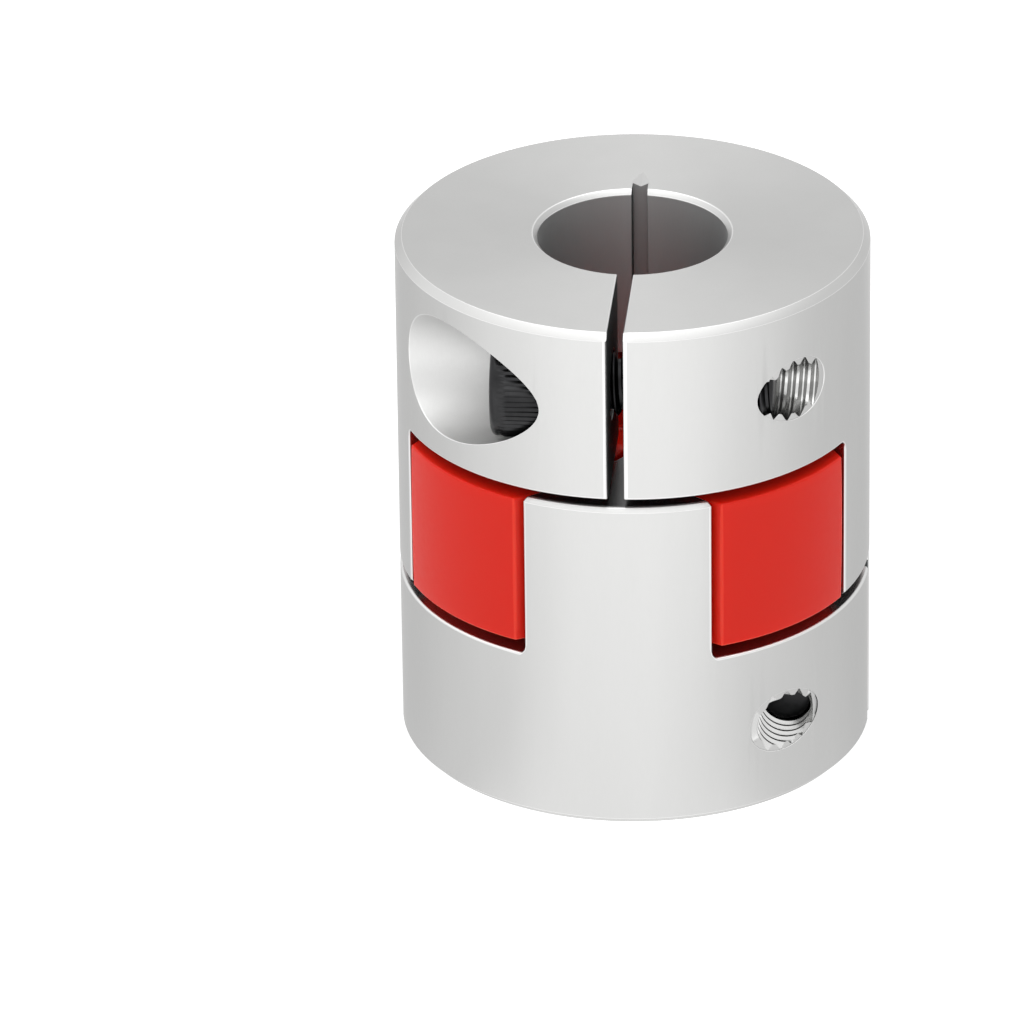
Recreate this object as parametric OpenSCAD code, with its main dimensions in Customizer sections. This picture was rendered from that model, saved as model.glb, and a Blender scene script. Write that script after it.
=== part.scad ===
// Jaw coupling: two identical clamp hubs, a four-arm elastomer spider and two clamp screws.
// Z runs along the shaft axis and z = 0 is the lower hub's end face. Millimetres.

/* [Hub] */
// Outer diameter
outer_d = 30; // [26:0.5:34]
// Shaft bore diameter
bore_d = 12; // [6:0.5:13]
// Length of the solid part of a hub, from its end face to the root of its jaws
hub_h = 11.4; // [10.5:0.1:16]
// Height of a jaw above its root
jaw_h = 11; // [7:0.1:14]
// Gap between a jaw's tip and the other hub
tip_gap = 0.6; // [0.6:0.1:1.5]
// Edge chamfer round the end face
rim_chamfer = 0.45; // [0.1:0.05:0.8]
// Edge chamfer of the bore
bore_chamfer = 0.3; // [0.1:0.05:0.6]

/* [Jaws] */
// Angle on the outer circle between neighbouring jaws of the two hubs
window_angle = 43; // [40:0.5:45]
// Radius of the hollow jaw flanks
flank_r = 25; // [20:1:60]
// Radius to the inner tip of a jaw
jaw_inner_r = 7.6; // [7.4:0.1:9]
// Fillet at the root of a jaw
root_fillet = 0.35; // [0.1:0.05:0.4]
// Edge chamfer round the tip of a jaw
tip_chamfer = 0.3; // [0.1:0.05:0.4]

/* [Clamp] */
// Width of the slit
slit_w = 1; // [0.6:0.1:1.6]
// Depth of the saw cut in the bore wall opposite the slit
back_cut = 1.2; // [0.6:0.1:2]
// Distance from the shaft axis to the screw axis
screw_offset = 10.2; // [10:0.1:10.4]
// Counterbore diameter
counterbore_d = 8; // [7.6:0.1:8.2]
// Distance from the slit's middle to the counterbore's floor
seat_y = 4.1; // [3.5:0.1:5]

/* [Screw] */
// Thread diameter
thread_d = 4; // [3:0.5:4]
// Length of the upper screw under its head
upper_screw_len = 13.7; // [10:0.1:14]
// Length of the lower screw under its head
lower_screw_len = 12; // [10:0.1:14]
// Head diameter
head_d = 7; // [5.5:0.5:7]
// Head height
head_h = 3.9; // [3:0.1:4]
// Hex socket across its flats
socket_af = 3; // [2.5:0.5:3]
// Depth of the hex socket
socket_depth = 2; // [1.5:0.1:2.2]
// Edge chamfer of the head and of the thread's end
screw_chamfer = 0.4; // [0.2:0.05:0.45]

/* [Spider] */
// Radius to the outer face of the arms, which stand a little proud of the hubs
arm_r = 15.1; // [13:0.05:15.2]
// Greatest width of an arm
arm_w = 11.48; // [10:0.02:11.48]
// Radius of the round arm flanks
arm_flank_r = 12; // [8:0.1:14]
// Radius of the spider's core
core_r = 6.5; // [6:0.1:7]
// Radius of the round pocket in each side of the core
pocket_r = 5.5; // [4:0.1:5.6]
// Thickness left between the two pockets
web_t = 1.2; // [0.8:0.1:3]
// Edge chamfer of the arms
arm_chamfer = 0.25; // [0.1:0.05:0.4]
// Diameter of the small spacing studs
stud_d = 3; // [2:0.5:4]
// Height of the small spacing studs
stud_h = 0.76; // [0.3:0.01:0.78]
// Clear space above and below the arms
side_gap = 0.8; // [0.8:0.1:1]

/* [Hidden] */
$fn = 96;
outer_r = outer_d / 2;
bore_r = bore_d / 2;
total_h = 2 * hub_h + jaw_h + tip_gap;
spider_t = jaw_h + tip_gap - 2 * side_gap;
spider_z = hub_h + side_gap;
// Arms and jaws meet at the middle of the flank, about 10 mm from the axis.
flank_x = 10.2;
edge_x = outer_r * cos(window_angle / 2);
edge_y = outer_r * sin(window_angle / 2);
flank_off = sqrt(flank_r * flank_r - (edge_x - flank_x) * (edge_x - flank_x)) - edge_y;
arm_off = arm_flank_r - arm_w / 2;
screw_z = hub_h / 2;
thread_hole_r = thread_d / 2 + 0.04;
clear_hole_r = thread_d / 2 + 0.25;
stud_x = 10;
ring_r = 1.1;
ring_w = 0.4;
ring_depth = 0.15;
// Cutting shapes reach this far past the faces they cut.
over = 2;
// The end mark is a V groove that rises from the saw cut to a point on the end face.
mark_len = 1.7;
mark_rise = 9;
mark_depth = 0.54;
mark_half_w = 1.16;
aluminium = [0.78, 0.78, 0.79];
red_rubber = [0.82, 0.12, 0.08];
black_steel = [0.1, 0.1, 0.11];

// Space on the hollow side of one flank, with a fillet where it meets the root.
module flank_space(side) {
  translate([flank_x, side * flank_off, 0]) rotate_extrude() polygon(concat(
    [[0, jaw_h + over], [0, 0]],
    [for (a = [-90:22.5:0]) [
      flank_r - root_fillet + root_fillet * cos(a),
      root_fillet + root_fillet * sin(a)
    ]],
    [[flank_r, jaw_h + over]]
  ));
}

// Space between two jaws for one arm, along +X: two large arcs back to back.
module arm_space() {
  intersection() {
    flank_space(-1);
    flank_space(1);
  }
}

// Space for one jaw of the other hub, along +X.
module opposite_jaw_space() {
  linear_extrude(jaw_h + over)
    polygon([[0, 0], [outer_d, -outer_d], [outer_d, outer_d]]);
}

// Turned blank: end face at z = 0, jaw tips at the top.
module hub_blank() {
  rotate_extrude() polygon([
    [bore_r + bore_chamfer, 0],
    [outer_r - rim_chamfer, 0],
    [outer_r, rim_chamfer],
    [outer_r, hub_h + jaw_h - tip_chamfer],
    [outer_r - tip_chamfer, hub_h + jaw_h],
    [bore_r, hub_h + jaw_h],
    [bore_r, bore_chamfer]
  ]);
}

// Small V cut at the blind end of the saw cut: it runs out to a point on the end face.
module end_mark() {
  translate([-bore_r - back_cut - mark_len, 0, 0]) rotate([0, 90 - mark_rise, 0])
    linear_extrude(mark_len + 0.06)
      polygon([[0, 0], [mark_depth, -mark_half_w], [mark_depth, mark_half_w]]);
}

// Hub with its jaws along Y and its slit along +X.
module hub() {
  difference() {
    hub_blank();
    translate([0, 0, hub_h]) cylinder(r = jaw_inner_r, h = jaw_h + over);
    for (a = [45, 135, 225, 315])
      translate([0, 0, hub_h]) rotate([0, 0, a]) arm_space();
    for (a = [0, 180])
      translate([0, 0, hub_h]) rotate([0, 0, a]) opposite_jaw_space();
    translate([-bore_r - back_cut, -slit_w / 2, -over])
      cube([outer_d, slit_w, hub_h + 2 * over]);
    end_mark();
    translate([screw_offset, seat_y, screw_z]) rotate([-90, 0, 0])
      cylinder(d = counterbore_d, h = outer_r);
    translate([screw_offset, 0, screw_z]) rotate([-90, 0, 0])
      cylinder(r = clear_hole_r, h = seat_y + 1);
    translate([screw_offset, 0, screw_z]) rotate([90, 0, 0])
      cylinder(r = thread_hole_r, h = outer_r);
  }
}

// Socket head cap screw in the hub's own frame, head towards +Y.
module clamp_screw(len) {
  translate([screw_offset, seat_y, screw_z]) rotate([-90, 0, 0]) difference() {
    rotate_extrude() polygon([
      [0, -len],
      [thread_d / 2 - screw_chamfer, -len],
      [thread_d / 2, -len + screw_chamfer],
      [thread_d / 2, 0],
      [head_d / 2, 0],
      [head_d / 2, head_h - screw_chamfer],
      [head_d / 2 - screw_chamfer, head_h],
      [0, head_h]
    ]);
    translate([0, 0, head_h - socket_depth])
      cylinder(d = socket_af / cos(30), h = socket_depth + over, $fn = 6);
  }
}

// Places anything drawn in a hub's own frame on the upper hub: turned over and a quarter turn.
module on_upper_hub() {
  translate([0, 0, total_h]) rotate([0, 0, -90]) rotate([180, 0, 0]) children();
}

module lower_hub() {
  color(aluminium) hub();
}

module upper_hub() {
  color(aluminium) on_upper_hub() hub();
}

module lower_clamp_screw() {
  color(black_steel) clamp_screw(lower_screw_len);
}

module upper_clamp_screw() {
  color(black_steel) on_upper_hub() clamp_screw(upper_screw_len);
}

// One half of an arm's round flank, with its upper and lower edges broken.
module flank_round(side) {
  translate([flank_x, side * arm_off, 0]) rotate_extrude() polygon([
    [0, 0],
    [arm_flank_r - arm_chamfer, 0],
    [arm_flank_r, arm_chamfer],
    [arm_flank_r, spider_t - arm_chamfer],
    [arm_flank_r - arm_chamfer, spider_t],
    [0, spider_t]
  ]);
}

// The arms' outer faces lie on one turned shape with broken edges.
module arm_envelope() {
  rotate_extrude() polygon([
    [0, 0],
    [arm_r - arm_chamfer, 0],
    [arm_r, arm_chamfer],
    [arm_r, spider_t - arm_chamfer],
    [arm_r - arm_chamfer, spider_t],
    [0, spider_t]
  ]);
}

// The arm starts inside the core's wall and ends at its outer face.
module arm() {
  difference() {
    intersection() {
      flank_round(1);
      flank_round(-1);
      arm_envelope();
    }
    translate([0, 0, -over])
      cylinder(r = (core_r + pocket_r) / 2, h = spider_t + 2 * over);
  }
}

// Round pocket with a small ring-shaped moulding mark in its floor.
module pocket() {
  cylinder(r = pocket_r, h = spider_t);
  translate([0, 0, -ring_depth]) difference() {
    cylinder(r = ring_r + ring_w / 2, h = 2 * ring_depth);
    translate([0, 0, -over]) cylinder(r = ring_r - ring_w / 2, h = 2 * over);
  }
}

// Spacing stud on an arm's side face at z = 0.
module stud() {
  translate([stud_x, 0, -0.5]) cylinder(d = stud_d, h = stud_h + 0.5);
}

module spider() {
  color(red_rubber) translate([0, 0, spider_z]) {
    difference() {
      union() {
        cylinder(r = core_r, h = spider_t);
        for (a = [45, 135, 225, 315]) rotate([0, 0, a]) arm();
      }
      translate([0, 0, (spider_t + web_t) / 2]) pocket();
      translate([0, 0, (spider_t - web_t) / 2]) rotate([180, 0, 0]) pocket();
    }
    for (a = [45, 225]) translate([0, 0, spider_t]) rotate([0, 0, a]) stud();
    for (a = [135, 315]) rotate([0, 0, a]) mirror([0, 0, 1]) stud();
  }
}

lower_hub();
upper_hub();
spider();
lower_clamp_screw();
upper_clamp_screw();
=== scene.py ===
"""Jaw coupling: two anodised clamp hubs, a red four-arm spider and two black clamp screws."""

import math

import bmesh
import bpy
from mathutils import Matrix, Vector


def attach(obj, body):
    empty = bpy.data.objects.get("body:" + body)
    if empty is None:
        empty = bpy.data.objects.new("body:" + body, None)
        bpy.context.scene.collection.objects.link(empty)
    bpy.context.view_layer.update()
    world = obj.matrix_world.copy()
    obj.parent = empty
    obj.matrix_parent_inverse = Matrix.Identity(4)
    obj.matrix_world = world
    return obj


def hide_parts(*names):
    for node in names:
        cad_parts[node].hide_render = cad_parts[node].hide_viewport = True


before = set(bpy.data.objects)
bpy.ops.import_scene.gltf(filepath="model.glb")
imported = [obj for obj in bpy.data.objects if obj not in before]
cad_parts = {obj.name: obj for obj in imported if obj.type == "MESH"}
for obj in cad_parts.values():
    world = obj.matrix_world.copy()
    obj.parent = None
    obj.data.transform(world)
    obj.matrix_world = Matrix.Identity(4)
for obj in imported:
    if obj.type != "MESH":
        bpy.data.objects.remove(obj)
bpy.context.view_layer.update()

MM = 0.001

# Sizes that the solids have too, in millimetres
TOTAL_H = 34.4
HUB_H = 11.4
OUTER_R, BORE_R = 15.0, 6.0
SLIT_HALF, BACK_CUT_R = 0.5, 7.2
SCREW_X, SEAT_Y, SCREW_Z = 10.2, 4.1, 5.7
COUNTERBORE_R, THREAD_HOLE_R = 4.0, 2.04
UPPER_LEN, LOWER_LEN, HEAD_H = 13.7, 12.0, 3.9
SOCKET_AF = 3.0
SPIDER_T, SPIDER_Z = 10.0, 12.2
PITCH = 0.7

LOWER = Matrix.Identity(4)
UPPER = (
    Matrix.Translation((0, 0, TOTAL_H))
    @ Matrix.Rotation(math.radians(-90), 4, "Z")
    @ Matrix.Rotation(math.pi, 4, "X")
)
# A screw's own frame has its axis along Z, its tip below 0 and its head above it
SCREW = Matrix.Translation((SCREW_X, SEAT_Y, SCREW_Z)) @ Matrix.Rotation(
    -math.pi / 2, 4, "X"
)


# ---------------------------------------------------------------- materials


class Nodes:
    """A short way to write a node material."""

    def __init__(self, name):
        self.mat = bpy.data.materials.new(name)
        self.mat.use_nodes = True
        self.tree = self.mat.node_tree
        self.bsdf = self.tree.nodes["Principled BSDF"]

    def add(self, kind, **values):
        node = self.tree.nodes.new("ShaderNode" + kind)
        for key, value in values.items():
            if hasattr(node, key):
                setattr(node, key, value)
            else:
                node.inputs[key.replace("_", " ")].default_value = value
        return node

    def link(self, a, out, b, into):
        self.tree.links.new(a.outputs[out], b.inputs[into])

    def set(self, **values):
        for key, value in values.items():
            self.bsdf.inputs[key.replace("_", " ")].default_value = value

    def ranged(self, source, socket, low, high):
        """Lets a texture vary one of the shader's numbers between low and high."""
        level = self.add("MapRange")
        level.inputs["To Min"].default_value = low
        level.inputs["To Max"].default_value = high
        self.link(source, "Fac", level, "Value")
        self.link(level, "Result", self.bsdf, socket)

    def mixed(self, source, first, second):
        """Lets a texture or an attribute mix the base colour between two colours."""
        mix = self.add("Mix", data_type="RGBA")
        mix.inputs[6].default_value = (*first, 1)
        mix.inputs[7].default_value = (*second, 1)
        self.tree.links.new(source.outputs["Fac"], mix.inputs[0])
        self.tree.links.new(mix.outputs[2], self.bsdf.inputs["Base Color"])

    def bumped(self, source, strength, height):
        bump = self.add("Bump", Strength=strength, Distance=height)
        self.link(source, "Fac", bump, "Height")
        self.link(bump, "Normal", self.bsdf, "Normal")


def anodised(name, rough, colour, anisotropy=0.0):
    """Clear-anodised aluminium: a fine satin grain with faint streaks along the axis."""
    n = Nodes(name)
    n.set(Metallic=1.0, Roughness=rough, Base_Color=(*colour, 1))
    n.set(Anisotropic=anisotropy, Anisotropic_Rotation=0.25)
    n.set(Specular_Tint=(0.75, 0.75, 0.75, 1))
    tangent = n.add("Tangent", direction_type="RADIAL", axis="Z")
    n.link(tangent, "Tangent", n.bsdf, "Tangent")
    stretch = n.add("Mapping")
    stretch.inputs["Scale"].default_value = (1, 1, 0.15)
    n.link(n.add("TexCoord"), "Object", stretch, "Vector")
    grain = n.add("TexNoise", Scale=9000.0, Detail=3.0, Roughness=0.6)
    n.link(stretch, "Vector", grain, "Vector")
    n.ranged(grain, "Roughness", rough - 0.06, rough + 0.06)
    n.bumped(grain, 0.12, 0.00001)
    clouds = n.add("TexNoise", Scale=260.0, Detail=4.0, Roughness=0.55)
    n.link(stretch, "Vector", clouds, "Vector")
    n.mixed(clouds, [c * 0.96 for c in colour], [c * 1.04 for c in colour])
    return n.mat


def elastomer(name):
    """Red moulded polyurethane: satin, a little see-through, with a painted highlight that pales
    its edges.
    """
    n = Nodes(name)
    n.set(Roughness=0.42, IOR=1.5, Specular_IOR_Level=0.16)
    n.set(Subsurface_Weight=0.7, Subsurface_Scale=0.003)
    n.bsdf.inputs["Subsurface Radius"].default_value = (1.0, 0.12, 0.06)
    grain = n.add("TexNoise", Scale=2500.0, Detail=4.0)
    n.link(n.add("TexCoord"), "Object", grain, "Vector")
    n.ranged(grain, "Roughness", 0.36, 0.48)
    n.bumped(grain, 0.12, 0.00002)
    # The arms' edges are painted a paler red through this attribute: a painted highlight
    painted_edge_highlight = n.add("Attribute", attribute_name="painted_edge_highlight")
    n.mixed(painted_edge_highlight, (0.47, 0.010, 0.003), (0.60, 0.050, 0.026))
    return n.mat


def black_oxide(name):
    """Black oxide steel with a trace of oil."""
    n = Nodes(name)
    n.set(Metallic=1.0)
    grain = n.add("TexNoise", Scale=1800.0, Detail=5.0)
    n.link(n.add("TexCoord"), "Object", grain, "Vector")
    n.ranged(grain, "Roughness", 0.24, 0.42)
    n.mixed(grain, (0.020, 0.020, 0.021), (0.040, 0.040, 0.041))
    n.bumped(grain, 0.15, 0.00002)
    return n.mat


HUB_MAT = anodised("anodised_aluminium", 0.40, (0.50, 0.50, 0.495), 0.5)
# Painted highlight: the bevels get a paler aluminium along the broken edges
EDGE_HIGHLIGHT_MAT = anodised("deburred_edge_highlight", 0.35, (0.66, 0.66, 0.655))
# Painted shade: the bore and back cut get a darker, slightly cool aluminium that also cancels the
# red the spider bounces in; the rougher reamed finish is real
BORE_SHADE_MAT = anodised("reamed_bore_painted_shade", 0.52, (0.405, 0.41, 0.41), 0.5)
# Painted shade: the saw cut's walls are painted near-black
SLIT_SHADE_MAT = anodised("sawn_slit_painted_shade", 0.5, (0.11, 0.12, 0.12))
# Painted light: the counterbore's seat gets a paler aluminium; its rougher milled finish is real
SEAT_LIGHT_MAT = anodised("milled_seat_painted_light", 0.56, (0.62, 0.62, 0.615))
# Painted shade: the jaws' end faces, in the narrow gap under the other hub, are painted dark
JAW_TIP_SHADE_MAT = anodised("milled_jaw_painted_shade", 0.24, (0.27, 0.27, 0.27))
# Painted light and painted reflection: the roots and jaw flanks between the jaws are paler and
# pinkish, standing in for light in the gap under the arms and the red spider's reflection
ROOT_LIGHT_MAT = anodised("milled_root_painted_light", 0.24, (0.70, 0.66, 0.66))
THREAD_MAT = anodised("tapped_thread", 0.2, (0.56, 0.56, 0.555))
RED_MAT = elastomer("red_elastomer")
SCREW_MAT = black_oxide("black_oxide_steel")
HUB_MATS = [HUB_MAT, EDGE_HIGHLIGHT_MAT, BORE_SHADE_MAT, SLIT_SHADE_MAT, SEAT_LIGHT_MAT, JAW_TIP_SHADE_MAT, ROOT_LIGHT_MAT]


# ---------------------------------------------------------------- mesh helpers


def finish_mesh(name, bm, place, body, mats, nodes=(), sharp=35):
    """Turns a bmesh in millimetres into a piece of the object."""
    bmesh.ops.remove_doubles(bm, verts=bm.verts, dist=1e-5)
    bmesh.ops.recalc_face_normals(bm, faces=bm.faces)
    bm.transform(Matrix.Scale(MM, 4) @ place)
    mesh = bpy.data.meshes.new(name)
    bm.to_mesh(mesh)
    bm.free()
    for polygon in mesh.polygons:
        polygon.use_smooth = True
    mesh.set_sharp_from_angle(angle=math.radians(sharp))
    piece = bpy.data.objects.new(name, mesh)
    bpy.context.scene.collection.objects.link(piece)
    for mat in mats:
        mesh.materials.append(mat)
    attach(piece, body)
    if nodes:
        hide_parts(*nodes)
    weighted = piece.modifiers.new("even shading", "WEIGHTED_NORMAL")
    weighted.keep_sharp = True
    weighted.weight = 90


def rings(bm, rows):
    """Skins rows of points, each a ring; a row of one point is a pole."""
    made = [[bm.verts.new(p) for p in row] for row in rows]
    for a, b in zip(made, made[1:]):
        count = max(len(a), len(b))
        for i in range(count):
            at = [[v[k * len(v) // count % len(v)] for k in (i, i + 1)] for v in (a, b)]
            quad = [at[0][0], at[0][1], at[1][1], at[1][0]]
            corners = []
            for v in quad:
                if v not in corners:
                    corners.append(v)
            if len(corners) > 2:
                bm.faces.new(corners)


def polar(radius, angle, z):
    return (radius * math.cos(angle), radius * math.sin(angle), z)


def turned(count, radius, z):
    """A ring of points whose radius is a number or a function of the angle."""
    angles = [2 * math.pi * i / count for i in range(count)]
    return [polar(radius(a) if callable(radius) else radius, a, z) for a in angles]


# ---------------------------------------------------------------- hubs

# How far the hubs' edges are broken or filleted, in millimetres
JAW_SIDE_EDGE = 0.25
OUTSIDE_EDGE = 0.16
JAW_INNER_EDGE = 0.12
SLIT_MOUTH_EDGE = 0.1
PLAIN_EDGE = 0.05
THREAD_HOLE_EDGE = 0.03
CHAMFER_EDGE = 0.02
WIDEST_EDGE = JAW_SIDE_EDGE
# An edge that turns less than this, in radians, is part of a smooth surface
SMOOTH = 0.5
# Where the small V mark beyond the saw cut lies in a hub's own frame; its edges stay sharp
MARK_FROM, MARK_TO, MARK_HALF_W, MARK_DEPTH = -9.2, -6.5, 1.2, 0.8


def edge_width(edge, inverse):
    """How far an edge of a hub is broken or filleted."""
    if not edge.is_manifold or edge.calc_face_angle() < SMOOTH:
        return 0
    a, b = (inverse @ v.co for v in edge.verts)
    mid = (a + b) / 2
    radius = min(math.hypot(v.x, v.y) for v in (a, b))
    rise = abs(a.z - b.z)
    from_screw = math.hypot(mid.x - SCREW_X, mid.z - SCREW_Z)
    on_outside = radius > OUTER_R - 0.02
    along_mark = MARK_FROM < mid.x < MARK_TO and abs(mid.y) < MARK_HALF_W
    end_face_rim = mid.z < 0.01 and radius > OUTER_R - 1
    turned_rim = on_outside and rise < 0.01 and not 1 <= mid.z <= HUB_H + 5
    if along_mark and mid.z < MARK_DEPTH:
        return 0
    if end_face_rim or turned_rim:
        return CHAMFER_EDGE
    if not edge.is_convex:
        return PLAIN_EDGE
    if mid.y < 0 and from_screw < THREAD_HOLE_R + 0.06:
        return THREAD_HOLE_EDGE
    if mid.y > SEAT_Y and from_screw < COUNTERBORE_R + 0.1:
        return PLAIN_EDGE
    if on_outside:
        return JAW_SIDE_EDGE if rise > 1 else OUTSIDE_EDGE
    if mid.z < 0.02 and abs(mid.y) < SLIT_HALF + 0.01 and mid.x > 0:
        return SLIT_MOUTH_EDGE
    if mid.z > HUB_H + 0.1:
        return JAW_INNER_EDGE
    return PLAIN_EDGE


def hub_finish(face, inverse):
    """The material of one face of a hub by the cut it lies on: the roughness follows each cut's
    finish, while the colours hold painted shade in the slit, bore and jaw tips and painted light
    on the roots, counterbore and bevels.
    """
    centre = inverse @ face.calc_center_median()
    normal = inverse.to_3x3() @ face.normal
    radius = math.hypot(centre.x, centre.y)
    from_screw = math.hypot(centre.x - SCREW_X, centre.z - SCREW_Z)
    upright = abs(normal.z) < 0.3
    in_bore = radius < BORE_R + 0.04
    in_back_cut = centre.x < -BORE_R and radius < BACK_CUT_R + 0.05
    if abs(normal.y) > 0.99 and abs(abs(centre.y) - SLIT_HALF) < 0.02:
        return SLIT_SHADE_MAT
    if upright and (in_bore or in_back_cut):
        return BORE_SHADE_MAT
    if face.material_index == HUB_MATS.index(EDGE_HIGHLIGHT_MAT):
        return EDGE_HIGHLIGHT_MAT
    if centre.y > SEAT_Y - 0.01 and from_screw < COUNTERBORE_R + 0.01:
        return SEAT_LIGHT_MAT
    if centre.z > HUB_H - 0.01 and radius < OUTER_R - 0.3:
        return JAW_TIP_SHADE_MAT if centre.z > HUB_H + 1 and normal.z > 0.5 else ROOT_LIGHT_MAT
    return HUB_MAT


def hub_piece(node, body, place):
    """The hub's solid with every edge broken, as a deburred part has."""
    bm = bmesh.new()
    bm.from_mesh(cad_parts[node].data)
    bm.transform(Matrix.Scale(1 / MM, 4))
    bmesh.ops.remove_doubles(bm, verts=bm.verts, dist=2e-4)
    bmesh.ops.dissolve_limit(
        bm, angle_limit=math.radians(0.4), verts=bm.verts, edges=bm.edges
    )
    bm.normal_update()
    inverse = place.inverted()
    weights = [edge_width(edge, inverse) / WIDEST_EDGE for edge in bm.edges]
    mesh = bpy.data.meshes.new(node + "_source")
    bm.to_mesh(mesh)
    bm.free()
    layer = mesh.attributes.new("bevel_weight_edge", "FLOAT", "EDGE")
    layer.data.foreach_set("value", weights)
    source = bpy.data.objects.new(node + "_source", mesh)
    bpy.context.scene.collection.objects.link(source)
    mesh.materials.append(HUB_MAT)
    mesh.materials.append(EDGE_HIGHLIGHT_MAT)
    bevel = source.modifiers.new("edges", "BEVEL")
    bevel.width = WIDEST_EDGE
    bevel.segments = 3
    bevel.limit_method = "WEIGHT"
    bevel.use_clamp_overlap = False
    # The bevels take the paler edge material: a painted highlight
    bevel.material = HUB_MATS.index(EDGE_HIGHLIGHT_MAT)
    depsgraph = bpy.context.evaluated_depsgraph_get()
    made = bpy.data.meshes.new_from_object(source.evaluated_get(depsgraph))
    bpy.data.objects.remove(source)
    bm = bmesh.new()
    bm.from_mesh(made)
    for face in bm.faces:
        face.material_index = HUB_MATS.index(hub_finish(face, inverse))
    identity = Matrix.Identity(4)
    finish_mesh(node + "_body", bm, identity, body, HUB_MATS, [node])


# ---------------------------------------------------------------- threads and screws

THREAD_COLUMNS = 120
# Radii of the cut threads, in millimetres
SCREW_CREST_R, SCREW_ROOT_R = 1.98, 1.58
HOLE_CREST_R, HOLE_ROOT_R = 1.62, 2.02
# Half a crest's width and the width of a flank, in pitches
SCREW_CREST_HALF, HOLE_CREST_HALF, FLANK_W = 0.0625, 0.125, 0.3125
# Rows of one pitch, counted from a crest's middle, lie on the thread's own corners
SCREW_ROWS = (-0.0625, 0.0625, 0.21875, 0.375, 0.5, 0.625, 0.78125)
HOLE_ROWS = (-0.125, 0.125, 0.28125, 0.4375, 0.5625, 0.71875)
# How far round each hub's threads start, in turns
LOWER_TURN, UPPER_TURN = 0.0, 0.5
# The screw's chamfered tip: its end radius and how fast it widens
TIP_R, TIP_SLOPE = 1.5, 1.1
# The head: knurl, rounded top edge, and radius and height of its underside's corners
HEAD_COLUMNS = 240
KNURL_TEETH, KNURL_R, KNURL_DEPTH, KNURL_RUN_OUT = 60, 3.37, 0.1, 0.2
KNURL_LOW, KNURL_HIGH, KNURL_STEPS = 0.3, HEAD_H - 0.6, 12
HEAD_TOP_R, HEAD_ROUNDING, HEAD_FLAT_R = 3.4, 0.42, 2.2
HEAD_UNDERSIDE = ((2.3, 0.0), (3.2, 0.0), (3.3, 0.05), (3.36, 0.2))
# The hex socket's broken edge: how much wider it is, and how far below the head's top
SOCKET_MOUTH = ((0.16, 0), (0.04, 0.1), (0, 0.2))


def thread_r(u, crest, root, crest_half):
    """Radius of a 60 degree thread at u pitches from a crest's middle."""
    u = abs((u + 0.5) % 1 - 0.5)
    return crest + (root - crest) * min(max((u - crest_half) / FLANK_W, 0), 1)


def helix_columns(rows, low, high, turn, radius):
    """Columns of points up a helical thread, cut off at z = low(angle) and z = high."""
    columns = []
    first = math.floor(min(low(0), low(math.pi)) / PITCH) - 3
    last = math.ceil(high / PITCH) + 3
    for i in range(THREAD_COLUMNS + 1):
        a = 2 * math.pi * i / THREAD_COLUMNS
        lead = i / THREAD_COLUMNS - turn
        bottom = low(a)
        column = []
        for k in range(first, last):
            for row in rows:
                z = min(max((k + row + lead) * PITCH, bottom), high)
                column.append(polar(radius(z, z / PITCH - lead), a, z))
        columns.append(column)
    return columns


def skin_columns(bm, columns):
    """Skins columns of equally many points and drops the faces that have no area."""
    made = [[bm.verts.new(p) for p in column] for column in columns]
    for a, b in zip(made, made[1:]):
        for quad in zip(a, b, b[1:], a[1:]):
            bm.faces.new(quad)
    bmesh.ops.remove_doubles(bm, verts=bm.verts, dist=1e-5)
    bmesh.ops.dissolve_degenerate(bm, edges=bm.edges, dist=1e-6)


def tip_r(z, length):
    """Radius of the screw's chamfered tip."""
    return TIP_R + (z + length) * TIP_SLOPE


def socket_r(angle, across):
    """Radius of a hexagon of the given width across its flats."""
    sector = math.radians(60)
    off = (angle + sector / 2) % sector - sector / 2
    return across / 2 / math.cos(off)


def knurl_r(angle, depth):
    """Radius of the head where its knurl is cut to a depth."""
    return KNURL_R + depth * abs(angle * KNURL_TEETH / math.pi % 2 - 1)


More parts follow.
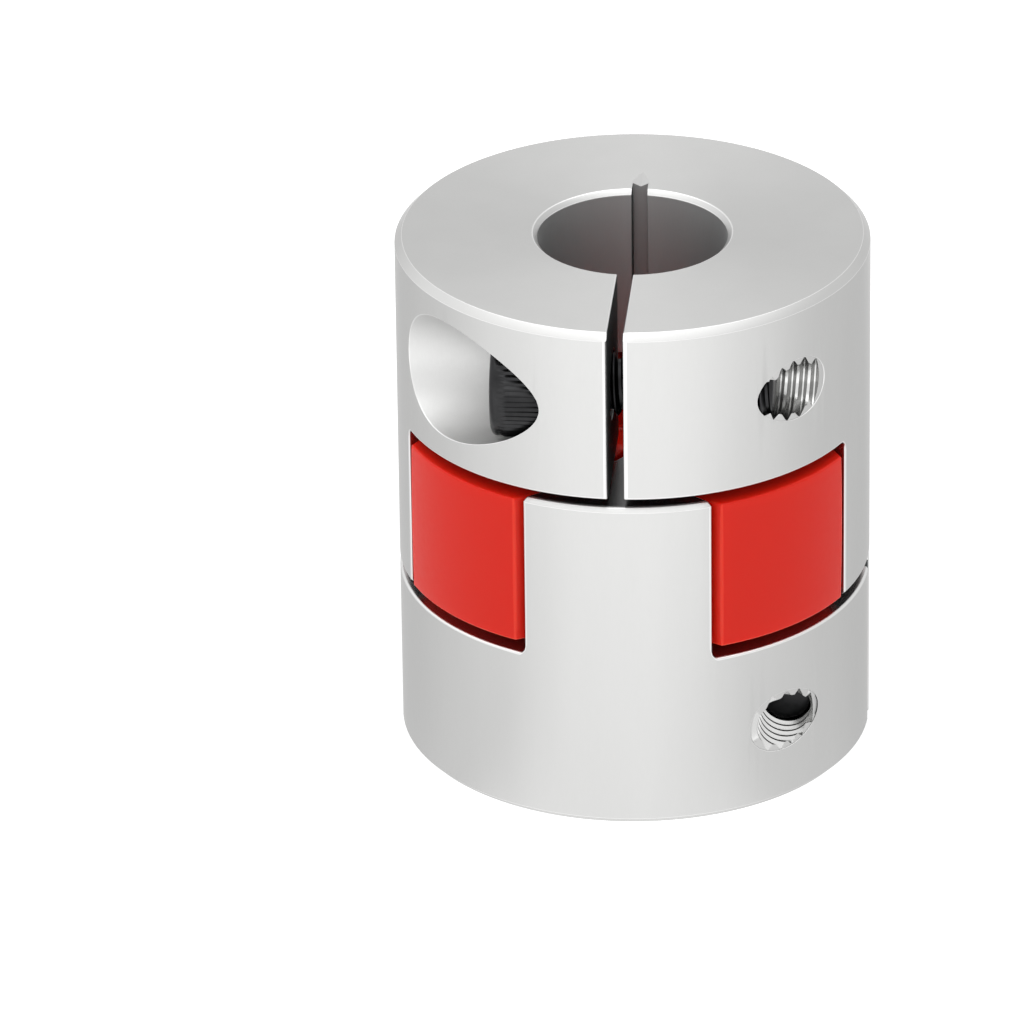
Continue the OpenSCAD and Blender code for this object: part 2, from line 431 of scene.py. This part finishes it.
def screw_piece(name, node, place, body, length, turn):
    """Socket head cap screw with a cut thread, a knurled head and a hex socket."""
    low = -length + 0.05

    def radius(z, u):
        threaded = thread_r(u, SCREW_CREST_R, SCREW_ROOT_R, SCREW_CREST_HALF)
        return min(threaded, tip_r(z, length))

    bm = bmesh.new()
    columns = helix_columns(SCREW_ROWS, lambda a: low, 0.0, turn, radius)
    skin_columns(bm, columns)
    tip, neck = ([column[end] for column in columns[:-1]] for end in (0, -1))
    flat = [turned(THREAD_COLUMNS, r, -length) for r in (1.0, 1.42)]
    rings(bm, [[(0, 0, -length)], *flat, tip])

    rows = [neck]
    rows += [turned(HEAD_COLUMNS, r, z) for r, z in HEAD_UNDERSIDE]
    for k in range(KNURL_STEPS + 1):
        z = KNURL_LOW + k * (KNURL_HIGH - KNURL_LOW) / KNURL_STEPS
        from_end = min(z - KNURL_LOW, KNURL_HIGH - z)
        depth = KNURL_DEPTH * max(min(1.0, from_end / KNURL_RUN_OUT), 0)
        rows.append(turned(HEAD_COLUMNS, lambda a: knurl_r(a, depth), z))
    for k in range(9):
        t = math.radians(90 * k / 8)
        r = HEAD_TOP_R - HEAD_ROUNDING * (1 - math.cos(t))
        rows.append(turned(HEAD_COLUMNS, r, HEAD_H - HEAD_ROUNDING * (1 - math.sin(t))))
    rows.append(turned(HEAD_COLUMNS, HEAD_FLAT_R, HEAD_H))
    for grow, drop in SOCKET_MOUTH:
        rows.append(
            turned(HEAD_COLUMNS, lambda a: socket_r(a, SOCKET_AF) + grow, HEAD_H - drop)
        )
    # The socket's walls, then the cone that its drill left
    rows.append(turned(HEAD_COLUMNS, lambda a: socket_r(a, SOCKET_AF), 2.0))
    rows.append(turned(HEAD_COLUMNS, lambda a: socket_r(a, 2.6), 1.85))
    rows.append(turned(HEAD_COLUMNS, 0.9, 1.6))
    rows.append([(0, 0, 1.35)])
    rings(bm, rows)
    finish_mesh(name, bm, place @ SCREW, body, [SCREW_MAT], [node], 40)


def thread_piece(name, place, body, length, turn):
    """The open end of the tapped hole, cut off by the hub's outside."""
    outer, trim = THREAD_HOLE_R - 0.005, OUTER_R - 0.04
    # Its inner end lies behind the screw's tip, out of sight
    start = max(-length + 0.4, -12.4)
    # The shortest the piece may be at any angle
    least = 0.02
    turn += 0.5

    def radius(z, u):
        clear = tip_r(z, length) + 0.05 if z > -length - 0.02 else 0
        threaded = thread_r(u, HOLE_CREST_R, HOLE_ROOT_R, HOLE_CREST_HALF)
        return min(max(threaded, clear), outer - 0.01)

    def surface_z(radius_there, a):
        x = SCREW_X + radius_there * math.cos(a)
        return -math.sqrt(trim * trim - x * x) - SEAT_Y

    def inside(z, a):
        return z > surface_z(radius(z, z / PITCH - a / (2 * math.pi) + turn), a)

    def mouth_z(a):
        low, high = -18.0, start - least
        if not inside(high, a):
            return high
        for _ in range(40):
            z = (low + high) / 2
            low, high = (low, z) if inside(z, a) else (z, high)
        return high

    bm = bmesh.new()
    columns = helix_columns(HOLE_ROWS, mouth_z, start, turn, radius)
    skin_columns(bm, columns)
    mouth, inner = ([column[end] for column in columns[:-1]] for end in (0, -1))
    back = []
    for i in range(THREAD_COLUMNS):
        a = 2 * math.pi * i / THREAD_COLUMNS
        back.append(polar(outer, a, min(surface_z(outer, a), start - least)))
    rings(bm, [mouth, back, turned(THREAD_COLUMNS, outer, start), inner])
    # The ring round the mouth is part of the hub's outside
    mats = [THREAD_MAT, HUB_MAT]
    for face in bm.faces:
        centre = face.calc_center_median()
        if math.hypot(SCREW_X + centre.x, SEAT_Y + centre.z) > trim - 0.03:
            face.material_index = mats.index(HUB_MAT)
    finish_mesh(name, bm, place @ SCREW, body, mats, (), 40)


# ---------------------------------------------------------------- spider

ARM_R, ARM_HALF, FLANK_X, FLANK_R, CORE_R = 15.1, 5.74, 10.2, 12.0, 6.5
POCKET_R, WEB_T, STUD_X, STUD_H = 5.5, 1.2, 10.0, 0.76
# Roundings that the mould leaves on the arms, and the crown of their outer faces
CORNER_R, EDGE_R, CROWN = 0.2, 0.14, 0.05
# Roundings at a pocket's mouth and floor
MOUTH_R, FLOOR_R = 0.2, 0.4
# Radius and height of the corners of the ring mark and the pip in a pocket's floor
RING_MARK = ((1.34, 0), (1.3, -0.04), (1.26, -0.15), (0.94, -0.15), (0.9, -0.04), (0.86, 0))
PIP_H = 0.1
PIP = ((0.3, 0), (0.22, 0.08), (0.1, PIP_H))
# Radius and height of a stud's corners, from inside the arm up to its rounded top
STUD_ROOT = -0.12
STUD = (
    (1.75, STUD_ROOT),
    (1.75, -0.02),
    (1.6, 0.03),
    (1.52, 0.12),
    (1.5, STUD_H - 0.12),
    (1.46, STUD_H - 0.04),
    (1.38, STUD_H),
)
STUD_COLUMNS = 48
# Bearing of each stud and the side that it stands on
STUD_PLACES = ((45, 1), (225, 1), (135, -1), (315, -1))
# Painted highlight: how much paler the arms' lower edges and upright corners are painted, from 0
# to 1
PAINTED_HIGHLIGHT_EDGE, PAINTED_HIGHLIGHT_CORNER = 0.6, 0.4


def circle_meet(p, r, q, s):
    """The meeting point, with the greater y, of two circles."""
    d = (q - p).length
    a = (r * r - s * s + d * d) / (2 * d)
    h = math.sqrt(max(r * r - a * a, 0))
    along = (q - p) / d
    across = Vector((-along.y, along.x))
    first, second = p + a * along + h * across, p + a * along - h * across
    return first if first.y > second.y else second


def arc(centre, radius, start, end, count, flip=1):
    """Points and outward normals along an arc between two directions."""
    out = []
    for k in range(count):
        t = start + (end - start) * k / count
        n = Vector((math.cos(t), math.sin(t)))
        out.append((centre + n * radius, n * flip))
    return out


def bearing(v):
    return math.atan2(v.y, v.x)


def notch_radius(flank_c, diagonal):
    """Radius of the arc between two arms that meets their flanks and the core smoothly."""
    low, high = 0.1, 5.0
    for _ in range(60):
        notch_r = (low + high) / 2
        gap = (diagonal * (CORE_R + notch_r) - flank_c).length - (FLANK_R + notch_r)
        low, high = (notch_r, high) if gap > 0 else (low, notch_r)
    return notch_r


def spider_outline():
    """The spider's outline as points and normals, and the bearing of an arm's corner."""
    origin = Vector((0, 0))
    diagonal = Vector((math.sqrt(0.5), math.sqrt(0.5)))
    flank_c = Vector((FLANK_X, ARM_HALF - FLANK_R))
    corner_c = circle_meet(origin, ARM_R - CORNER_R, flank_c, FLANK_R - CORNER_R)
    notch_r = notch_radius(flank_c, diagonal)
    notch_c = diagonal * (CORE_R + notch_r)
    corner_at = bearing(corner_c)
    to_corner = bearing(corner_c - flank_c)
    to_notch = bearing(notch_c - flank_c)
    # A short step on each side of the corner keeps the painted highlight along its edge narrow
    before_corner = corner_at * 0.99
    past_corner = to_corner + (to_notch - to_corner) * 0.01
    half = arc(origin, ARM_R, 0, corner_at, 14)
    half += arc(origin, ARM_R, before_corner, corner_at, 1)
    half += arc(corner_c, CORNER_R, corner_at, to_corner, 7)
    half += arc(flank_c, FLANK_R, to_corner, past_corner, 1)
    half += arc(flank_c, FLANK_R, past_corner, to_notch, 22)
    half += arc(notch_c, notch_r, to_notch + math.pi, math.radians(225), 6, -1)
    # The next arm's first half mirrors this one in the diagonal
    mirrored = [(Vector((p.y, p.x)), Vector((n.y, n.x))) for p, n in half[1:]]
    quarter = half + [(diagonal * CORE_R, diagonal)] + mirrored[::-1]
    outline = []
    for k in range(4):
        turn = Matrix.Rotation(math.radians(90 * k + 45), 2)
        outline += [(turn @ p, turn @ n) for p, n in quarter]
    return outline, math.degrees(corner_at)


def pocket_profile():
    """Radius and height, above the spider's middle, of the corners of one pocket."""
    top, floor_z = SPIDER_T / 2, WEB_T / 2
    profile = [(POCKET_R + 0.75, top)]
    angles = [math.radians(t) for t in range(0, 91, 18)]
    for a in angles:
        r = POCKET_R + MOUTH_R * (1 - math.sin(a))
        profile.append((r, top - MOUTH_R * (1 - math.cos(a))))
    profile.append((POCKET_R - 0.02, floor_z + 2.0))
    for a in angles:
        r = POCKET_R - 0.05 - FLOOR_R * (1 - math.cos(a))
        profile.append((r, floor_z + FLOOR_R * (1 - math.sin(a))))
    profile.append((2.5, floor_z))
    profile += [(r, floor_z + z) for r, z in (*RING_MARK, *PIP)]
    return profile


def spider_piece():
    """Moulded spider: crowned round-edged arms, two round pockets and spacing studs."""
    outline, corner_at = spider_outline()
    bearings = [bearing(p) for p, _ in outline]
    half_t = SPIDER_T / 2

    def outline_row(z):
        near = half_t - abs(z)
        inset = CROWN * (z / half_t) ** 2
        if near < EDGE_R:
            inset += EDGE_R - math.sqrt(max(EDGE_R * EDGE_R - (EDGE_R - near) ** 2, 0))
        return [(p.x - n.x * inset, p.y - n.y * inset, z) for p, n in outline]

    def pocket_rows(sign):
        rows = [[polar(r, b, sign * z) for b in bearings] for r, z in pocket_profile()]
        return rows + [[(0, 0, sign * (WEB_T / 2 + PIP_H))]]

    steps = [half_t - EDGE_R * (1 - math.cos(math.radians(t))) for t in range(0, 91, 15)]
    levels = [-z for z in steps]
    levels += [(-half_t + EDGE_R) * (1 - k / 6) for k in range(1, 12)]
    levels += reversed(steps)
    bm = bmesh.new()
    rows = pocket_rows(-1)[::-1]
    rows += [outline_row(z) for z in levels]
    rows += pocket_rows(1)
    rings(bm, rows)
    for azimuth, side in STUD_PLACES:
        a = math.radians(azimuth)
        cx, cy = STUD_X * math.cos(a), STUD_X * math.sin(a)
        stud = [[(0, 0, STUD_ROOT)]]
        stud += [turned(STUD_COLUMNS, r, h) for r, h in STUD]
        stud += [[(0, 0, STUD_H)]]
        rings(
            bm,
            [[(x + cx, y + cy, side * (half_t + h)) for x, y, h in row] for row in stud],
        )
    # Marks the arms' lower edges and upright corners for a paler red: a painted highlight
    painted_edge_highlight = bm.verts.layers.float.new("painted_edge_highlight")
    for v in bm.verts:
        radius = math.hypot(v.co.x, v.co.y)
        from_middle = abs(math.degrees(bearing(v.co)) % 90 - 45)
        corner = radius > ARM_R - 0.1 and from_middle > corner_at - 0.02
        lower_edge = half_t - EDGE_R + 0.01 < -v.co.z < half_t - 0.02
        if radius > CORE_R and lower_edge:
            v[painted_edge_highlight] = PAINTED_HIGHLIGHT_EDGE
        elif corner:
            v[painted_edge_highlight] = PAINTED_HIGHLIGHT_CORNER
    place = Matrix.Translation((0, 0, SPIDER_Z + half_t))
    mats = [RED_MAT]
    finish_mesh("spider_body", bm, place, "insert", mats, ["spider"], 50)


hub_piece("lower_hub", "lower_half", LOWER)
hub_piece("upper_hub", "upper_half", UPPER)
for half, place, length, turn in (
    ("lower", LOWER, LOWER_LEN, LOWER_TURN),
    ("upper", UPPER, UPPER_LEN, UPPER_TURN),
):
    thread_piece(half + "_hub_thread", place, half + "_half", length, turn)
    screw_piece(
        half + "_screw_body", half + "_clamp_screw", place, half + "_screw", length, turn
    )
spider_piece()


# ---------------------------------------------------------------- stage

scene = bpy.context.scene
scene.view_settings.view_transform = "Standard"
scene.view_settings.look = "None"

# Half the floor's width in metres; it lies a hair below the hub's end face
FLOOR = 3.0
FLOOR_Z = -0.02 * MM
floor_mesh = bpy.data.meshes.new("floor")
floor_corners = [
    (x * FLOOR, y * FLOOR, FLOOR_Z) for x, y in ((-1, -1), (1, -1), (1, 1), (-1, 1))
]
floor_mesh.from_pydata(floor_corners, [], [(0, 1, 2, 3)])
floor = bpy.data.objects.new("floor", floor_mesh)
scene.collection.objects.link(floor)
pale = Nodes("pale_table")
pale.set(Base_Color=(0.0, 0.0, 0.0, 1), Roughness=1.0, Specular_IOR_Level=0.0)

# Soft areas of the table's glow: azimuth from the front, half width, and strength near the object
# and far from it; near and far are distances in metres. The table is black and glows as the
# scene's light, and its glow is mostly weaker near the object: a painted shade round the foot
# that the hubs reflect.
TABLE_LEVEL = 1.08
TABLE_NEAR, TABLE_FAR = 0.02, 0.12
TABLE_AREAS = (
    (0, 100, 0.10, 0.88),
    (0, 50, 0.37, 0.0),
    (180, 45, 0.15, 0.45),
)
# Soft panels of the tent: azimuth from the front, elevation, half width, strength
TENT_LEVEL = 1.08
TENT_PANELS = (
    (0, 90, 50, 1.70),
    (-90, 25, 60, 0.40),
    (0, 10, 50, 0.28),
)


def towards(azimuth, elevation=0):
    """A direction from the object: azimuth 0 is its front and 90 its right."""
    a, e = math.radians(azimuth), math.radians(elevation)
    return Vector((math.sin(a) * math.cos(e), -math.cos(a) * math.cos(e), math.sin(e)))


def math_node(tree, operation, first, second):
    """Adds or multiplies two outputs, or an output and a number."""
    node = tree.nodes.new("ShaderNodeMath")
    node.operation = operation
    for socket, value in zip(node.inputs, (first, second)):
        if isinstance(value, bpy.types.NodeSocket):
            tree.links.new(value, socket)
        else:
            socket.default_value = value
    return node.outputs[0]


def fade(tree, source, start, end):
    """Rises smoothly from 0 at start to 1 at end."""
    node = tree.nodes.new("ShaderNodeMapRange")
    node.interpolation_type = "SMOOTHSTEP"
    node.inputs["From Min"].default_value = start
    node.inputs["From Max"].default_value = end
    tree.links.new(source, node.inputs["Value"])
    return node.outputs["Result"]


def lobe(tree, direction, centre, half_width):
    """1 in the middle of a soft round area of directions and 0 outside its half width."""
    dot = tree.nodes.new("ShaderNodeVectorMath")
    dot.operation = "DOT_PRODUCT"
    tree.links.new(direction, dot.inputs[0])
    dot.inputs[1].default_value = centre
    return fade(tree, dot.outputs["Value"], math.cos(math.radians(half_width)), 1)


table_point = pale.tree.nodes.new("ShaderNodeTexCoord").outputs["Object"]
table_way = pale.add("VectorMath", operation="NORMALIZE")
table_away = pale.add("VectorMath", operation="LENGTH")
pale.tree.links.new(table_point, table_way.inputs[0])
pale.tree.links.new(table_point, table_away.inputs[0])
far = fade(pale.tree, table_away.outputs["Value"], TABLE_NEAR, TABLE_FAR)
table_glow = TABLE_LEVEL
for azimuth, half_width, near_level, far_level in TABLE_AREAS:
    area = lobe(pale.tree, table_way.outputs["Vector"], towards(azimuth), half_width)
    strength = math_node(pale.tree, "MULTIPLY", far, far_level - near_level)
    strength = math_node(pale.tree, "ADD", strength, near_level)
    area = math_node(pale.tree, "MULTIPLY", area, strength)
    table_glow = math_node(pale.tree, "ADD", area, table_glow)
pale.bsdf.inputs["Emission Color"].default_value = (1, 1, 1, 1)
pale.tree.links.new(table_glow, pale.bsdf.inputs["Emission Strength"])
floor_mesh.materials.append(pale.mat)

world = bpy.data.worlds.new("studio")
scene.world = world
world.use_nodes = True
tent = world.node_tree
tent_way = tent.nodes.new("ShaderNodeTexCoord").outputs["Generated"]
tent_glow = TENT_LEVEL
for azimuth, elevation, half_width, level in TENT_PANELS:
    panel = lobe(tent, tent_way, towards(azimuth, elevation), half_width)
    panel = math_node(tent, "MULTIPLY", panel, level)
    tent_glow = math_node(tent, "ADD", panel, tent_glow)
tent.nodes["Background"].inputs["Color"].default_value = (1, 1, 1, 1)
tent.links.new(tent_glow, tent.nodes["Background"].inputs["Strength"])

# The camera: far off with a long lens, 27 degrees above the horizon. Angles are in degrees,
# and the distance, the point that it turns round and its offsets from that in millimetres.
CAM_AZ, CAM_EL, CAM_ROLL = 5.2135, 27.0423, -0.7795
CAM_DIST, CAM_X, CAM_Y, CAM_LENS, SENSOR = 645.137, -7.7823, -2.6246, 355.98, 36
CAM_TARGET = Vector((0, 0, 17.5))
roll = math.radians(CAM_ROLL)
back = towards(CAM_AZ, CAM_EL)
right = (-back).cross(Vector((0, 0, 1))).normalized()
up = right.cross(-back)
right, up = (
    right * math.cos(roll) + up * math.sin(roll),
    -right * math.sin(roll) + up * math.cos(roll),
)
camera = bpy.data.objects.new("camera", bpy.data.cameras.new("camera"))
scene.collection.objects.link(camera)
camera.data.lens, camera.data.sensor_width = CAM_LENS, SENSOR
camera.data.clip_start, camera.data.clip_end = 0.01, 20
where = (CAM_TARGET + back * CAM_DIST + right * CAM_X + up * CAM_Y) * MM
facing = Matrix((right, up, back)).transposed().to_4x4()
camera.matrix_world = Matrix.Translation(where) @ facing
scene.camera = camera
